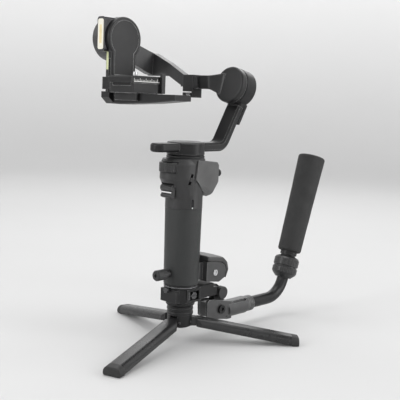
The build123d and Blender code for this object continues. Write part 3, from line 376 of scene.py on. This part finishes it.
def foam_sleeve():
    """Foam grip: turned sleeve with slightly uneven sides, a soft shoulder and a domed end."""
    fold = joint("collar_turn")
    axis = Vector(fold["axis"]).normalized()
    start = Vector(fold["pos_m"])
    profile = [(0.0090, 0.0231), (0.0142, 0.0230), (0.0162, 0.0239), (0.0173, 0.0258)]
    steps = 60
    for index in range(steps + 1):
        share = index / steps
        profile.append((0.0174 + 0.0028 * share, 0.0275 + 0.1400 * share))
    for index in range(1, 10):
        turn = math.radians(10 * index)
        profile.append((0.0174 + 0.0028 * math.cos(turn), 0.1675 + 0.0035 * math.sin(turn)))
    profile += [(0.0130, 0.1712), (0.0055, 0.1711), (0.0, 0.1710)]
    side = axis.orthogonal().normalized()
    up = axis.cross(side)
    bm = bmesh.new()
    around = 72
    rings = []
    for radius, along in profile:
        if radius == 0.0:
            rings.append([bm.verts.new(start + axis * along)])
            continue
        ring = []
        for step in range(around):
            turn = 2 * math.pi * step / around
            out = side * math.cos(turn) + up * math.sin(turn)
            place = start + axis * along + out * radius
            wobble = 0.00016 * noise.noise(place * 45.0) + 0.00007 * noise.noise(place * 160.0)
            waist = -0.00022 * math.sin(math.pi * min(1.0, max(0.0, (along - 0.03) / 0.135)))
            ring.append(bm.verts.new(place + out * (wobble + waist)))
        rings.append(ring)
    for first, second in zip(rings, rings[1:]):
        for step in range(around):
            nxt = (step + 1) % around
            if len(second) == 1:
                bm.faces.new((first[step], first[nxt], second[0]))
            else:
                bm.faces.new((first[step], first[nxt], second[nxt], second[step]))
    bm.faces.new(list(reversed(rings[0])))
    return mesh_object("foam_sleeve", bm, foam)


def thin_box(bm, low, high):
    corners = []
    for x in (low[0], high[0]):
        for y in (low[1], high[1]):
            corners += [Vector((x, y, low[2])), Vector((x, y, high[2]))]
    made = [bm.verts.new(c) for c in corners]
    for face in ((0, 1, 3, 2), (4, 6, 7, 5), (0, 4, 5, 1), (2, 3, 7, 6), (0, 2, 6, 4), (1, 5, 7, 3)):
        bm.faces.new([made[i] for i in face])


def scale_marks():
    """Printed length scale along the camera plate's side: a line and evenly spaced ticks."""
    low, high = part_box("camera_plate")
    side = high[0]
    bm = bmesh.new()
    base = high[2] - 0.0068
    start = low[1] + 0.004
    thin_box(bm, (side, start, base - 0.0010), (side + 0.00012, high[1] - 0.010, base))
    count = int((high[1] - low[1] - 0.015) / 0.0025)
    for index in range(count):
        y = start + 0.0025 * index
        tall = 0.0036 if index % 4 == 0 else 0.0020
        thin_box(bm, (side, y, base), (side + 0.00012, y + 0.0007, base + tall))
    return mesh_object("scale_marks", bm, print_white, smooth=False)


def bracket_strip():
    """Pale strip on the front edge of the tilt bracket's post."""
    low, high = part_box("crossbar")
    post_low, post_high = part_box("tilt_bracket")
    front = joint("tilt_turn")["pos_m"][1] - 0.022
    outer = post_high[0] - 0.0125
    bm = bmesh.new()
    thin_box(bm, (outer + 0.0008, front - 0.00012, high[2] + 0.0100),
             (outer + 0.0049, front, high[2] + 0.0330))
    return mesh_object("bracket_strip", bm, strip_tint, smooth=False)


cushion = rest_cushion()
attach(cushion, "handle")
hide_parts("wrist_rest_pad")

sleeve = foam_sleeve()
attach(sleeve, "sling_tube")
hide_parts("sling_grip")

marks = scale_marks()
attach(marks, "plate")

strip = bracket_strip()
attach(strip, "tilt_bracket")


# ---------------------------------------------------------------- stage, light and camera

floor_glow = 0.03
wall_glow = 0.56


def backdrop():
    """Seamless pale sweep: a round floor that curves up into a wall all round."""
    profile = [(0.0, 0.0), (0.4, 0.0), (0.9, 0.0), (1.5, 0.0), (2.2, 0.0)]
    for index in range(1, 13):
        turn = math.radians(7.5 * index)
        profile.append((2.2 + 1.5 * math.sin(turn), 1.5 - 1.5 * math.cos(turn)))
    profile += [(3.7, 2.6), (3.7, 4.2)]
    bm = bmesh.new()
    around = 96
    rings = [[bm.verts.new((0, 0, 0))]]
    for radius, height in profile[1:]:
        rings.append([bm.verts.new((radius * math.cos(2 * math.pi * s / around),
                                    radius * math.sin(2 * math.pi * s / around), height))
                      for s in range(around)])
    for first, second in zip(rings, rings[1:]):
        for step in range(around):
            nxt = (step + 1) % around
            if len(first) == 1:
                bm.faces.new((first[0], second[step], second[nxt]))
            else:
                bm.faces.new((first[step], second[step], second[nxt], first[nxt]))
    paper, tree, shader = new_material("paper_sweep")
    coords = add(tree, "ShaderNodeTexCoord").outputs["Object"]
    cloud = noise_field(tree, coords, 1.2, 3.0)
    patches = ranged(tree, cloud, 0.3, 0.7, 0.0, 1.0)
    tone = blend_colour(tree, patches, (0.60, 0.60, 0.60), (0.62, 0.62, 0.62))
    tree.links.new(tone, shader.inputs["Base Color"])
    split = add(tree, "ShaderNodeSeparateXYZ")
    tree.links.new(coords, split.inputs[0])
    glow = ranged(tree, split.outputs[2], 0.0, 1.3, floor_glow, wall_glow)
    shader.inputs["Emission Color"].default_value = (1, 1, 1, 1)
    tree.links.new(glow, shader.inputs["Emission Strength"])
    shader.inputs["Roughness"].default_value = 0.85
    shader.inputs["Specular IOR Level"].default_value = 0.1
    obj = mesh_object("backdrop_sweep", bm, paper)
    obj.location = (0, 0, -0.0002)
    return obj


backdrop()

handle = centre("handle_grip")
toward = math.radians(44.5)
forward = Vector((-math.sin(toward), math.cos(toward), 0))
right = Vector((math.cos(toward), math.sin(toward), 0))


def area_light(name, place, aim, size, power):
    data = bpy.data.lights.new(name, "AREA")
    data.shape = "RECTANGLE"
    data.size, data.size_y = size
    data.energy = power
    light = bpy.data.objects.new(name, data)
    light.location = place
    light.rotation_euler = (aim - place).to_track_quat("-Z", "Y").to_euler()
    scene.collection.objects.link(light)
    return light


aim = handle + Vector((0, 0, 0.08))
area_light("top_softbox", aim + Vector((0, 0, 1.9)) + forward * 0.3, aim, (1.3, 1.3), 18)
area_light("left_softbox", aim - right * 1.7 - forward * 0.9 + Vector((0, 0, 0.7)), aim, (0.6, 1.6), 12)
area_light("right_softbox", aim + right * 1.8 - forward * 0.5 + Vector((0, 0, 0.5)), aim, (0.5, 1.5), 12.5)
area_light("back_rim", aim + forward * 1.7 + right * 0.4 + Vector((0, 0, 1.1)), aim, (1.6, 0.8), 7)

world = bpy.data.worlds.new("studio")
world.use_nodes = True
world.node_tree.nodes["Background"].inputs["Color"].default_value = (1, 1, 1, 1)
world.node_tree.nodes["Background"].inputs["Strength"].default_value = 0.36
scene.world = world
scene.view_settings.view_transform = "Standard"

camera_data = bpy.data.cameras.new("camera")
camera_data.sensor_width = 36.0
camera_data.lens = 69.7
camera_data.clip_start = 0.02
camera = bpy.data.objects.new("camera", camera_data)
scene.collection.objects.link(camera)
foot = Vector((handle.x, handle.y, 0.0))
camera_distance = 0.9756
camera_height = 0.3117
swing = -0.021
down = 0.128
lean = 0.039
camera.location = foot - forward * camera_distance + Vector((0, 0, camera_height))
heading = (Matrix.Rotation(swing, 3, "Z") @ forward).normalized()
look = heading * math.cos(down) - Vector((0, 0, 1)) * math.sin(down)
pose = look.to_track_quat("-Z", "Y").to_matrix().to_4x4()
camera.matrix_world = Matrix.Translation(camera.location) @ pose @ Matrix.Rotation(lean, 4, "Z")
scene.camera = camera
